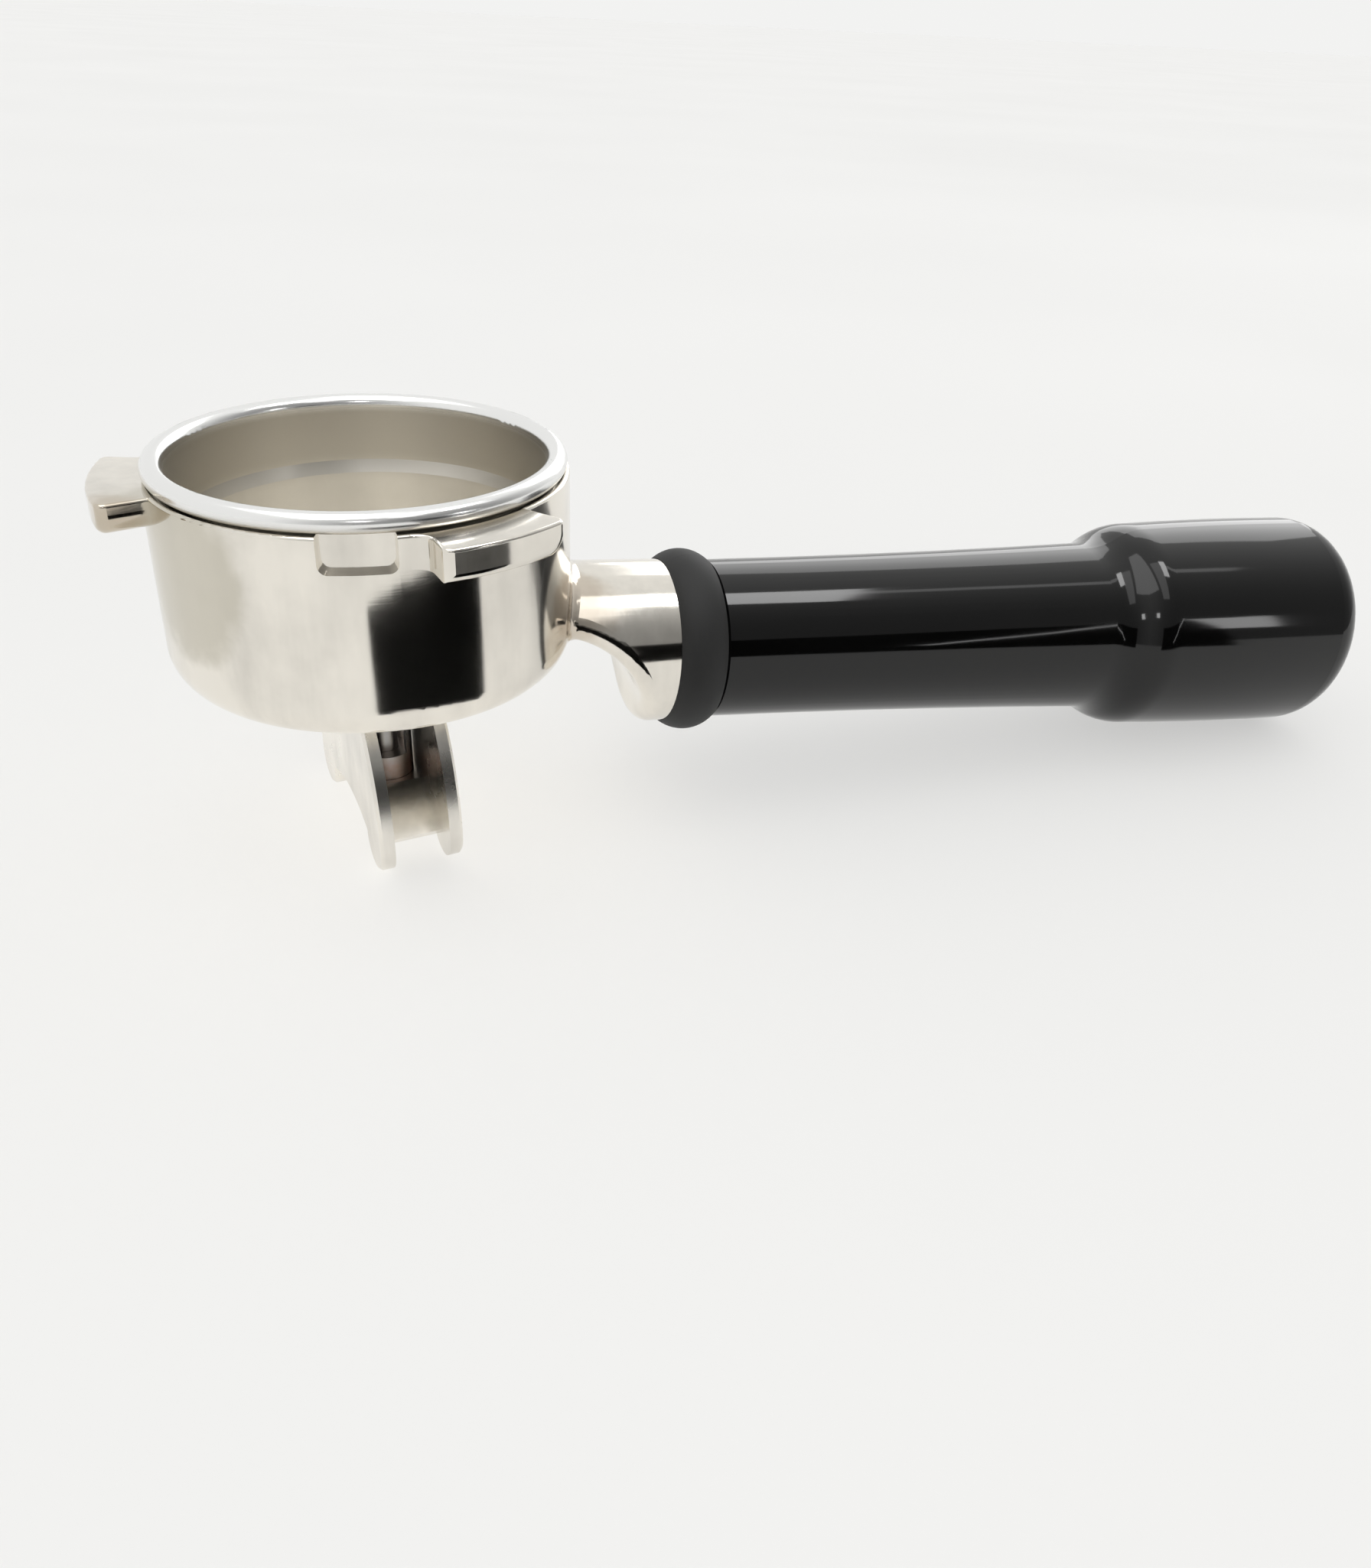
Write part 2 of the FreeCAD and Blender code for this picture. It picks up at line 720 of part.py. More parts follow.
def make_spout_fasteners():
    """Gasket, screw and its two washers, stacked on the cup's floor."""
    floor = "-(cup_depth - floor_thick)"
    make_ring("spout_gasket", "hub_radius - 1.5", "hub_radius", "-cup_depth", "spout_top - cup_depth")
    flat = f"{floor} + washer_thick"
    make_ring("spout_screw_washer", "screw_radius + 0.2", "screw_head_radius", flat, "washer_thick")
    spring = f"{floor} + 2 * washer_thick"
    inner, outer = "screw_radius + 0.1", "screw_head_radius - 0.3"
    spring_washer = make_ring("spout_spring_washer", inner, outer, spring, "washer_thick")
    split_ring(spring_washer, "XY_Plane", "2 * screw_head_radius", "2 * cup_depth")
    body = new_body("spout_screw")
    profile = new_sketch(body, "screw_profile")
    outline(profile, [
        ("0", f"{spring} + screw_head_tall"),
        ("screw_head_radius - 1.2", f"{spring} + screw_head_tall", "2.2", "right"),
        ("screw_head_radius", f"{spring} + 0.6"),
        ("screw_head_radius", spring),
        ("screw_radius", spring),
        ("screw_radius", "-channel_floor + 2"),
        ("screw_radius - 0.6", "-channel_floor + 1.2"),
        ("0", "-channel_floor + 1.2"),
    ])
    spin(body, "Revolution", "screw", profile)
    cross = new_sketch(body, "cross_profile", "XY_Plane", f"{spring} + screw_head_tall + {CLEAR}")
    long, short = "screw_radius", "cross_wide / 2"
    quarter = [(long, short), (short, short), (short, long)]
    corners = []
    for right, up in ((1, 1), (-1, 1), (-1, -1), (1, -1)):
        turned = [(f"{right} * {x}", f"{up} * {y}") for x, y in quarter]
        corners += turned if right == up else turned[::-1]
    outline(cross, corners)
    cut_through(body, "Pocket", "cross", cross, length=f"1 + {CLEAR}")


def make_collar():
    """Bulged rubber collar between the neck and the grip."""
    body = new_body("rubber_collar")
    lay_along_handle(body)
    profile = new_sketch(body, "collar_profile")
    start = "collar_station + gap"
    end = "collar_station + collar_width - gap"
    outline(profile, [
        (start, "spigot_radius + gap"),
        (start, "neck_radius + 0.1", "collar_bulge", "right"),
        (end, "grip_start_radius + 0.5"),
        (end, "spigot_radius + gap"),
    ])
    spin(body, "Revolution", "collar", profile, axis="H_Axis")


def make_grip():
    """Slim grip that swells behind a soft shoulder to a heavy rounded end."""
    body = new_body("handle_grip")
    lay_along_handle(body)
    profile = new_sketch(body, "grip_profile")
    start = "collar_station + collar_width + gap"
    half_run = "(grip_swell_station - grip_waist_station) / 2"
    half_rise = "(grip_swell_radius - grip_waist_radius) / 2"
    soft = f"(({half_run}) ^ 2 + ({half_rise}) ^ 2) / (2 * {half_rise})"
    cap_face = "grip_end_station - cap_thick - gap"
    outline(profile, [
        (start, "grip_bore_radius"),
        (start, "grip_start_radius - 0.5"),
        (f"{start} + 0.5", "grip_start_radius", "grip_sag_radius", "left"),
        ("grip_waist_station", "grip_waist_radius", soft, "left"),
        (f"grip_waist_station + {half_run}", f"grip_waist_radius + {half_rise}", soft, "right"),
        ("grip_swell_station", "grip_swell_radius", "grip_crown_radius", "right"),
        ("grip_end_station - grip_end_round", "grip_end_radius", "grip_end_round", "right"),
        ("grip_end_station", "grip_end_radius - grip_end_round"),
        ("grip_end_station", "cap_radius + gap"),
        (cap_face, "cap_radius + gap"),
        (cap_face, "grip_bore_radius"),
    ])
    spin(body, "Revolution", "grip", profile, axis="H_Axis")


def make_core():
    """Fluted core inside the grip, which the tie bolt pulls against the neck."""
    body = new_body("handle_core")
    lay_along_handle(body)
    profile = new_sketch(body, "core_profile")
    start = "collar_station + collar_width + 2 * gap"
    outer = "grip_bore_radius - 2 * gap"
    outline(profile, [
        (start, "tang_radius + 2 * gap"),
        (start, outer),
        ("core_station", outer),
        ("core_station", "bolt_head_radius + 1.5"),
        ("bolt_seat_station", "bolt_head_radius + 1.5"),
        ("bolt_seat_station", "bolt_radius + 0.2"),
        (f"tang_station + {CLEAR}", "bolt_radius + 0.2"),
        (f"tang_station + {CLEAR}", "tang_radius + 2 * gap"),
    ])
    spin(body, "Revolution", "core", profile, axis="H_Axis")
    flute = new_sketch(body, "flute_profile", "YZ_Plane", "collar_station")
    out = "(grip_bore_radius + 0.5)"
    circle(flute, f"{out} * sin(30 deg)", f"{out} * cos(30 deg)", "flute_radius")
    groove = cut_through(body, "Pocket", "flute", flute, length="core_station", reverse=True)
    around(body, "flutes", groove, FLUTES, "X_Axis")
    pin = new_sketch(body, "core_pin_profile", "YZ_Plane", start)
    circle(pin, "0", "pin_height", "pin_radius + gap")
    cut_through(body, "Pocket", "core_pin_hole", pin, length="pin_length / 2 + 1", reverse=True)


def make_pin():
    """Dowel from the spigot into the core."""
    pin = doc.addObject("Part::Cylinder", "handle_pin")
    pin.Label = "handle_pin"
    pin.setExpression("Radius", cells("pin_radius"))
    pin.setExpression("Height", cells("pin_length"))
    droop = math.radians(SIZES["handle_droop"])
    along = SIZES["pin_station"] + 2 * SIZES["gap"]
    above = SIZES["pin_height"]
    x = along * math.cos(droop) + above * math.sin(droop)
    z = -SIZES["axis_depth"] - along * math.sin(droop) + above * math.cos(droop)
    pin.Placement = Placement(Vector(x, 0, z), Rotation(Vector(0, 1, 0), 90 + SIZES["handle_droop"]))


def make_tie_bolt():
    """Socket-head bolt on a flat and a spring washer, screwed into the tang."""
    along = {"place": lay_along_handle, "axis": "H_Axis"}
    inner, outer = "bolt_radius + 0.3", "bolt_head_radius + 1"
    make_ring("tie_bolt_washer", inner, outer, "bolt_seat_station", "bolt_washer_thick", **along)
    start = "bolt_seat_station + bolt_washer_thick"
    inner, outer = "bolt_radius + 0.1", "bolt_head_radius"
    spring = make_ring("tie_bolt_spring_washer", inner, outer, start, "bolt_spring_thick", **along)
    split_ring(spring, "YZ_Plane", "2 * bolt_head_radius", "2 * grip_end_station")
    body = new_body("tie_bolt")
    lay_along_handle(body)
    profile = new_sketch(body, "bolt_profile")
    seat = "bolt_seat_station + bolt_washer_thick + bolt_spring_thick"
    tip = "tang_station - thread_length + 2"
    outline(profile, [
        (tip, "0"),
        (tip, "bolt_radius - 0.8"),
        (f"{tip} + 0.8", "bolt_radius"),
        (seat, "bolt_radius"),
        (seat, "bolt_head_radius"),
        (f"{seat} + bolt_head_tall - 0.5", "bolt_head_radius"),
        (f"{seat} + bolt_head_tall", "bolt_head_radius - 0.5"),
        (f"{seat} + bolt_head_tall", "0"),
    ])
    spin(body, "Revolution", "bolt", profile, axis="H_Axis")
    socket = new_sketch(body, "socket_profile", "YZ_Plane", f"{seat} + bolt_head_tall")
    hexagon(socket, "bolt_socket_across")
    cut_through(body, "Pocket", "socket", socket, length="bolt_head_tall / 2")


def make_end_cap():
    """Flush cap in the grip's end, sealed by a rubber ring in its stub."""
    body = new_body("end_cap")
    lay_along_handle(body)
    profile = new_sketch(body, "cap_profile")
    face = "grip_end_station"
    back = "grip_end_station - cap_thick"
    stub = "grip_bore_radius - 0.2"
    seat = "cap_ring_radius - cap_ring_wire / 2 - gap"
    outline(profile, [
        (f"{back} - 6", "0"),
        (f"{back} - 6", stub),
        (f"{back} - 4", stub),
        (f"{back} - 4", seat),
        (f"{back} - 2", seat),
        (f"{back} - 2", stub),
        (back, stub),
        (back, "cap_radius"),
        (f"{face} - 0.4", "cap_radius"),
        (face, "cap_radius - 0.4"),
        (face, "0"),
    ])
    spin(body, "Revolution", "cap", profile, axis="H_Axis")


def torus(name, major, minor, sweep):
    """A round wire bent to a ring, or to part of one."""
    ring = doc.addObject("Part::Torus", name)
    ring.Label = name
    ring.setExpression("Radius1", cells(major))
    ring.setExpression("Radius2", cells(minor))
    ring.Angle3 = sweep
    return ring


def make_wire_rings():
    """The spring wire in the cup's groove, and the cap's sealing ring."""
    spring = torus("basket_spring", "spring_seat", "spring_wire / 2", 360 - SPRING_OPENING)
    facing = Rotation(Vector(0, 0, 1), SPRING_OPENING / 2)
    spring.Placement = Placement(Vector(0, 0, -SIZES["spring_depth"]), facing)
    spring.setExpression(".Placement.Base.z", cells("-spring_depth"))
    seal = torus("end_cap_ring", "cap_ring_radius", "cap_ring_wire / 2", 360)
    droop = math.radians(SIZES["handle_droop"])
    along = SIZES["grip_end_station"] - SIZES["cap_thick"] - 3
    centre = Vector(along * math.cos(droop), 0, -SIZES["axis_depth"] - along * math.sin(droop))
    seal.Placement = Placement(centre, Rotation(Vector(0, 1, 0), 90 + SIZES["handle_droop"]))


def make_liner():
    """Dished liner on the cup's floor that leads the coffee to the drain holes."""
    body = new_body("cup_liner")
    profile = new_sketch(body, "liner_profile")
    floor = "-(cup_depth - floor_thick)"
    edge = "bore_radius - 0.4"
    outline(profile, [
        ("drain_circle + 2.8", f"{floor} + gap"),
        (f"{edge} - 0.7", f"{floor} + gap"),
        (edge, f"{floor} + 0.8"),
        (edge, f"{floor} + 2"),
        (f"{edge} - 0.5", f"{floor} + 2"),
        ("drain_circle + 2.8", f"{floor} + 0.8"),
    ])
    spin(body, "Revolution", "liner", profile)


def write_parts():
    """Check each piece and write it as a STEP file named after its label."""
    doc.recompute()
    faulty = [o.Name for o in doc.Objects if "Invalid" in o.State or "Error" in o.State]
    if faulty:
        raise RuntimeError(f"objects in error: {faulty}")
    os.makedirs("parts", exist_ok=True)
    kinds = ("PartDesign::Body", "Part::Cylinder", "Part::Torus")
    pieces = [o for o in doc.Objects if o.TypeId in kinds]
    for piece in pieces:
        if piece.Shape.isNull() or not piece.Shape.isValid():
            raise RuntimeError(f"{piece.Label} has a faulty shape")
        piece.Shape.exportStep(f"parts/{piece.Label}.step")
        print(f"{piece.Label}: {piece.Shape.Volume:.0f} mm3, {len(piece.Shape.Solids)} solid")


fill_sheet()
make_portafilter_body()
make_basket()
make_spout()
make_outlet_tube()
make_spout_fasteners()
make_collar()
make_grip()
make_core()
make_pin()
make_tie_bolt()
make_end_cap()
make_wire_rings()
make_liner()
write_parts()
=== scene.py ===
"""A three-lug portafilter on a pale table, in soft studio light. Metres, in the part's own frame.

Every visible piece is the CAD model's own. This script gives the pieces their materials, and adds
the table, the light and the camera.
"""

import math

import bpy
from mathutils import Matrix, Vector


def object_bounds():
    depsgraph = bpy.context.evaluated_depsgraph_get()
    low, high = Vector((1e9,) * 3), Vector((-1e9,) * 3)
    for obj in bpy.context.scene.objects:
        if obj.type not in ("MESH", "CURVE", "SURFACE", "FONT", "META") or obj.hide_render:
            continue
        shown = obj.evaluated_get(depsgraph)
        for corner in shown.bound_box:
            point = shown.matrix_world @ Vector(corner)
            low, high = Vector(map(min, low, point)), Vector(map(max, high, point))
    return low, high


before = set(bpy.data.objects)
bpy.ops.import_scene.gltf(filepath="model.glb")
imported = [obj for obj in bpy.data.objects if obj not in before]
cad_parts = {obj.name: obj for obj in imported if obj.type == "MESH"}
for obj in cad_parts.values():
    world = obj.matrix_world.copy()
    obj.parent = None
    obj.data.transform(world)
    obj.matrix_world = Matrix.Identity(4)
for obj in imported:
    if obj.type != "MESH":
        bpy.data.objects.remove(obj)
cad_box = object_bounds()

# The table is where the spout's tips and the grip's heavy end rest.
TABLE = cad_box[0][2]
# Brightness of the room: behind and in front for gloss, all round for matte, and past the table.
BACK = 0.88
FRONT = 0.25
AMBIENT = 0.42
HORIZON = 0.89
# The room's dark corner is in front and to the right: this points straight away from it. Along
# it, from -1 to 1, gloss sees the room start to brighten and then fully bright.
AWAY_FROM_DARK = (-0.53, 0.85, 0)
BRIGHTENS = -0.95
FULLY_BRIGHT = 0.05
# The camera stands in front of the cup, above its rim, and looks down past it along the handle.
CAMERA_PLACE = (-0.01401, -0.1875, 0.05853)
CAMERA_FORWARD = (0.2862, 0.8058, -0.5184)
CAMERA_UP = (0.1247, 0.5051, 0.8540)
LENS_MM = 33.5
SENSOR_MM = 36
# How deep the marks on polished steel are: slow ripples, short scratches and hairlines.
RIPPLE_DEPTH = 0.00006
SCRATCH_DEPTH = 0.0000022
HAIRLINE_DEPTH = 0.0000012


# ---------------------------------------------------------------- materials

class Nodes:
    """A new material with a Principled shader, and short ways to add and join nodes."""

    def __init__(self, name):
        self.material = bpy.data.materials.new(name)
        self.material.use_nodes = True
        self.tree = self.material.node_tree
        self.tree.nodes.clear()
        self.output = self.add("ShaderNodeOutputMaterial")
        self.shader = self.add("ShaderNodeBsdfPrincipled")
        self.join(self.shader.outputs["BSDF"], self.output.inputs["Surface"])
        self.place = self.add("ShaderNodeTexCoord").outputs["Object"]

    def add(self, kind, **settings):
        """A new node of a kind, with its settings."""
        node = self.tree.nodes.new(kind)
        for key, value in settings.items():
            setattr(node, key, value)
        return node

    def join(self, source, target):
        """Link an output to an input."""
        self.tree.links.new(source, target)

    def feed(self, value, socket):
        """Give an input a colour, a number or another node's output."""
        if isinstance(value, tuple):
            socket.default_value = (*value, 1)
        elif isinstance(value, (int, float)):
            socket.default_value = value
        else:
            self.join(value, socket)

    def height(self):
        """How high each point is in the part's own frame."""
        split = self.add("ShaderNodeSeparateXYZ")
        self.join(self.place, split.inputs[0])
        return split.outputs["Z"]

    def fade(self, source, start, end):
        """A soft step along a value: 0 before start and 1 past end, which may be the lower one."""
        node = self.add("ShaderNodeMapRange", interpolation_type="SMOOTHSTEP")
        node.inputs["From Min"].default_value = start
        node.inputs["From Max"].default_value = end
        self.join(source, node.inputs["Value"])
        return node.outputs["Result"]

    def noise(self, scale, detail=3.0, stretch=None, roughness=0.5):
        """Noise from 0 to 1, its scale in features for each metre.

        Stretch multiplies the scale along x, y and z, so a small number makes long streaks.
        """
        texture = self.add("ShaderNodeTexNoise")
        texture.inputs["Scale"].default_value = scale
        texture.inputs["Detail"].default_value = detail
        texture.inputs["Roughness"].default_value = roughness
        source = self.place
        if stretch is not None:
            mapping = self.add("ShaderNodeMapping")
            mapping.inputs["Scale"].default_value = stretch
            self.join(self.place, mapping.inputs["Vector"])
            source = mapping.outputs["Vector"]
        self.join(source, texture.inputs["Vector"])
        return texture.outputs["Fac"]

    def ramp(self, source, stops):
        """Colours, or greys, along a value: stops are (position, (r, g, b) or grey)."""
        node = self.add("ShaderNodeValToRGB")
        elements = node.color_ramp.elements
        while len(elements) < len(stops):
            elements.new(0.5)
        for element, (position, colour) in zip(elements, stops):
            element.position = position
            rgb = colour if isinstance(colour, tuple) else (colour, colour, colour)
            element.color = (*rgb, 1)
        self.join(source, node.inputs["Fac"])
        return node.outputs["Color"]

    def scale(self, source, low, high):
        """A value's 0 to 1 stretched to low to high."""
        node = self.add("ShaderNodeMapRange")
        node.inputs["To Min"].default_value = low
        node.inputs["To Max"].default_value = high
        self.join(source, node.inputs["Value"])
        return node.outputs["Result"]

    def math(self, operation, first, second):
        """Sum or product of two numbers or outputs."""
        node = self.add("ShaderNodeMath", operation=operation)
        self.feed(first, node.inputs[0])
        self.feed(second, node.inputs[1])
        return node.outputs["Value"]

    def mix(self, amount, first, second, kind="RGBA"):
        """From the first to the second, colours or FLOAT numbers, as the amount goes from 0 to 1."""
        node = self.add("ShaderNodeMix", data_type=kind)
        self.feed(amount, node.inputs["Factor"])
        self.feed(first, node.inputs["A"])
        self.feed(second, node.inputs["B"])
        return node.outputs["Result"]

    def spot(self, centre, radius, soft, wobble):
        """1 near a point, fading to 0 past a radius, with a wandering edge."""
        gap = self.add("ShaderNodeVectorMath", operation="DISTANCE")
        gap.inputs[1].default_value = centre
        self.join(self.place, gap.inputs[0])
        edge = self.noise(90, detail=4)
        wander = self.math("MULTIPLY", edge, wobble)
        reach = self.math("ADD", gap.outputs["Value"], wander)
        full = radius + wobble / 2
        return self.fade(reach, full + soft, full)

    def bump(self, height, depth, before=None):
        """Raise the surface by a value, to a depth in metres."""
        node = self.add("ShaderNodeBump")
        node.inputs["Strength"].default_value = 1.0
        node.inputs["Distance"].default_value = depth
        self.join(height, node.inputs["Height"])
        if before is not None:
            self.join(before, node.inputs["Normal"])
        return node.outputs["Normal"]

    def set(self, **sockets):
        """Set shader sockets, by names with underscores for spaces, to a number, a colour or a link."""
        for key, value in sockets.items():
            self.feed(value, self.shader.inputs[key.replace("_", " ")])
        return self.material


def polished_steel(name, tint, roughness, wear, stains=()):
    """Steel polished by hand: warm tint, smudges, stains, and short fine scratches.

    Roughness goes from its lower to its higher value with the smudges. Wear, from 0 to 1, makes
    the smudges darker and the scratches deeper. A stain is (centre, radius, strength, colour).
    """
    n = Nodes(name)
    smudge = n.noise(45, detail=5, roughness=0.6)
    cloud = n.noise(160, detail=4)
    scratch = n.noise(900, detail=2, stretch=(1, 1, 0.06))
    hair = n.noise(2600, detail=1, stretch=(0.05, 1, 1))
    wiped = n.noise(110, detail=4, stretch=(1, 1, 0.18), roughness=0.6)
    darkening = 1 - 0.32 * wear
    dull = tuple(c * darkening for c in tint)
    mottle = n.math("ADD", n.scale(smudge, 0, 0.55), n.scale(wiped, 0, 0.45))
    colour = n.ramp(mottle, ((0.34, dull), (0.56, tint)))
    for centre, radius, amount, stain in stains:
        spot = n.spot(centre, radius, soft=0.004, wobble=0.012)
        colour = n.mix(n.math("MULTIPLY", spot, amount), colour, stain)
    low, high = roughness
    spread = 0.03 * wear
    rough = n.math("ADD", n.scale(smudge, low, high), n.scale(cloud, -spread, spread))
    ripple = n.noise(70, detail=2)
    depth = 0.4 + wear
    normal = n.bump(ripple, RIPPLE_DEPTH)
    normal = n.bump(scratch, SCRATCH_DEPTH * depth, normal)
    normal = n.bump(hair, HAIRLINE_DEPTH * depth, normal)
    return n.set(Base_Color=colour, Metallic=1.0, Roughness=rough, Normal=normal)


def body_steel():
    """The cup's warm mirror polish, with tarnish on its left side and a mark beside the neck."""
    tint = (0.88, 0.84, 0.765)
    olive = (0.58, 0.545, 0.46)
    brown = (0.52, 0.42, 0.31)
    stains = (
        ((-0.027, -0.014, -0.009), 0.011, 0.75, olive),
        ((-0.030, 0.004, -0.020), 0.010, 0.6, olive),
        ((-0.035, -0.012, -0.003), 0.003, 0.5, brown),
        ((0.027, -0.012, -0.020), 0.007, 0.5, brown),
    )
    return polished_steel("polished cup steel", tint, (0.06, 0.17), wear=0.7, stains=stains)


def basket_steel():
    """Satin pressed steel with painted shade and light: a dark grey painted on the wall's upper part
    and a bright grey below it, and cleaner and glossier on the rim.
    """
    # Heights where the painted shade on the wall's upper part starts and where it is full.
    shade_band_starts, shade_band_full = -0.0110, -0.0060
    rim_starts, rim_full = 0.0002, 0.0016
    # bright is painted light on the lower wall; dark is painted shade on its upper part.
    bright = (0.95, 0.92, 0.86)
    dark = (0.57, 0.54, 0.485)
    stain = (0.60, 0.57, 0.50)
    rim_grey = (0.89, 0.89, 0.88)
    n = Nodes("satin basket steel")
    height = n.height()
    painted_shade_band = n.fade(height, shade_band_starts, shade_band_full)
    rim = n.fade(height, rim_starts, rim_full)
    cloud = n.noise(120, detail=5, roughness=0.6)
    streak = n.noise(80, detail=5, stretch=(1, 1, 0.25), roughness=0.6)
    brushed = n.noise(1400, detail=2, stretch=(0.02, 0.02, 1))
    # Painted light below and painted shade above, by height.
    painted_light_and_shade = n.mix(painted_shade_band, bright, dark)
    blotch = n.math("ADD", n.scale(cloud, 0, 0.3), n.scale(streak, -0.05, 0.3))
    colour = n.mix(rim, n.mix(blotch, painted_light_and_shade, stain), rim_grey)
    rough = n.mix(rim, n.scale(cloud, 0.30, 0.42), 0.20, kind="FLOAT")
    normal = n.bump(brushed, 0.0000035)
    return n.set(Base_Color=colour, Metallic=1.0, Roughness=rough, Normal=normal)


def spout_steel():
    """The spout's duller polish."""
    return polished_steel("dull spout steel", (0.94, 0.905, 0.84), (0.20, 0.34), wear=1.0)


def tube_steel():
    """Turned grey tube with fine rings and a reddish stain at its foot."""
    stain_starts, stain_full = -0.045, -0.050
    grey = (0.42, 0.41, 0.40)
    rust = (0.30, 0.14, 0.08)
    n = Nodes("turned tube steel")
    rings = n.noise(2200, detail=1, stretch=(0.01, 0.01, 1))
    patches = n.noise(300, detail=4, roughness=0.65)
    low = n.fade(n.height(), stain_starts, stain_full)
    amount = n.math("MULTIPLY", n.scale(patches, 0.1, 1.0), low)
    colour = n.mix(amount, grey, rust)
    rough = n.scale(rings, 0.26, 0.42)
    normal = n.bump(rings, 0.000004)
    return n.set(Base_Color=colour, Metallic=1.0, Roughness=rough, Normal=normal)


def fastener_steel():
    """Plain grey screws, bolts, washers and the dowel."""
    return polished_steel("plain fastener steel", (0.55, 0.54, 0.53), (0.25, 0.4), wear=1.0)


def spring_steel():
    """The drawn wire that holds the basket."""
    return polished_steel("drawn spring wire", (0.6, 0.6, 0.6), (0.2, 0.3), wear=0.6)


def matte_rubber(name, grey):
    """Matte moulded rubber with a fine pebble and dusty rubbed patches."""
    n = Nodes(name)
    dust = n.noise(140, detail=5, roughness=0.65)
    pebble = n.noise(3500, detail=2)
    colour = n.ramp(dust, ((0.35, grey), (0.75, grey * 1.7)))
    rough = n.scale(dust, 0.55, 0.75)
    normal = n.bump(pebble, 0.00001)
    return n.set(Base_Color=colour, Roughness=rough, Normal=normal)


def gloss_plastic(name, grey, roughness):
    """Glossy moulded plastic: faint handling haze, a slow moulding ripple and hairline marks."""
    n = Nodes(name)
    haze = n.noise(60, detail=5, roughness=0.6)
    hair = n.noise(1500, detail=2, stretch=(0.04, 1, 1))
    ripple = n.noise(55, detail=1)
    low, high = roughness
    colour = n.ramp(haze, ((0.3, grey), (0.8, grey * 1.5)))
    rough = n.scale(haze, low, high)
    normal = n.bump(ripple, 0.00003)
    normal = n.bump(hair, 0.0000005, normal)
    return n.set(Base_Color=colour, Roughness=rough, IOR=1.5, Specular_IOR_Level=0.45, Normal=normal)


def matte_plastic(name, grey):
    """Moulded plastic with a fine grain, for the pieces inside."""
    n = Nodes(name)
    haze = n.noise(90, detail=4)
    grain = n.noise(2500, detail=2)
    colour = n.ramp(haze, ((0.3, grey * 0.85), (0.7, grey * 1.15)))
    rough = n.scale(haze, 0.45, 0.6)
    normal = n.bump(grain, 0.000006)
    return n.set(Base_Color=colour, Roughness=rough, Normal=normal)


def finish_cad_nodes():
    """Give every piece of the frame its finish. The ones not named here are plain fasteners."""
    seal = matte_rubber("seal rubber", 0.010)
    finishes = {
        "portafilter_body": body_steel(),
        "filter_basket": basket_steel(),
        "double_spout": spout_steel(),
        "spout_outlet_tube": tube_steel(),
        "basket_spring": spring_steel(),
        "rubber_collar": matte_rubber("collar rubber", 0.008),
        "handle_grip": gloss_plastic("gloss grip plastic", 0.0018, (0.05, 0.10)),
        "end_cap": gloss_plastic("satin cap plastic", 0.004, (0.18, 0.28)),
        "cup_liner": matte_plastic("liner plastic", 0.05),
        "handle_core": matte_plastic("core plastic", 0.1),
        "spout_gasket": seal,
        "end_cap_ring": seal,
    }
    plain = fastener_steel()
    for name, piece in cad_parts.items():
        piece.data.materials.clear()
        piece.data.materials.append(finishes.get(name, plain))


# ---------------------------------------------------------------- room

def make_floor():
    """Plain pale table, wide enough to fill every view."""
    reach = 14.0
    mesh = bpy.data.meshes.new("floor")
    corners = [(-reach, -reach, 0), (reach, -reach, 0), (reach, reach, 0), (-reach, reach, 0)]
    mesh.from_pydata(corners, [], [(0, 1, 2, 3)])
    floor = bpy.data.objects.new("floor", mesh)
    bpy.context.scene.collection.objects.link(floor)
    floor.location.z = TABLE
    n = Nodes("pale table")
    dim = (0.83, 0.828, 0.818)
    pale = (0.85, 0.848, 0.838)
    cloud = n.noise(3, detail=2)
    colour = n.ramp(cloud, ((0.3, dim), (0.7, pale)))
    floor.data.materials.append(n.set(Base_Color=colour, Roughness=0.9, Specular_IOR_Level=0.1))


def hide_from_all_but_gloss(piece):
    """Keep a staged piece out of the view, the shadows and the matte surfaces' light."""
    piece.visible_camera = False
    piece.visible_diffuse = False
    piece.visible_shadow = False
    piece.visible_transmission = False


def flag_cloth(name, grey):
    """Matte cloth, a little uneven."""
    n = Nodes(name)
    weave = n.noise(900, detail=2)
    colour = n.ramp(weave, ((0.3, 0.7 * grey), (0.7, 1.3 * grey)))
    return n.set(Base_Color=colour, Roughness=0.9, Specular_IOR_Level=0.0)


def make_screen(name, centre, radius, turns, foot, tops, grey):
    """An upright cloth on an arc round a centre, its turns in degrees, its foot above the table.

    Its top edge runs straight from one height to another.
    """
    steps = 24
    verts = []
    for i in range(steps + 1):
        part = i / steps
        turn = math.radians(turns[0] + (turns[1] - turns[0]) * part)
        x = centre[0] + radius * math.cos(turn)
        y = centre[1] + radius * math.sin(turn)
        top = tops[0] + (tops[1] - tops[0]) * part
        verts += [(x, y, TABLE + foot), (x, y, TABLE + top)]
    faces = [(2 * i, 2 * i + 2, 2 * i + 3, 2 * i + 1) for i in range(steps)]
    mesh = bpy.data.meshes.new(name)
    mesh.from_pydata(verts, [], faces)
    screen = bpy.data.objects.new(name, mesh)
    bpy.context.scene.collection.objects.link(screen)
    screen.data.materials.append(flag_cloth(name + " cloth", grey))
    hide_from_all_but_gloss(screen)


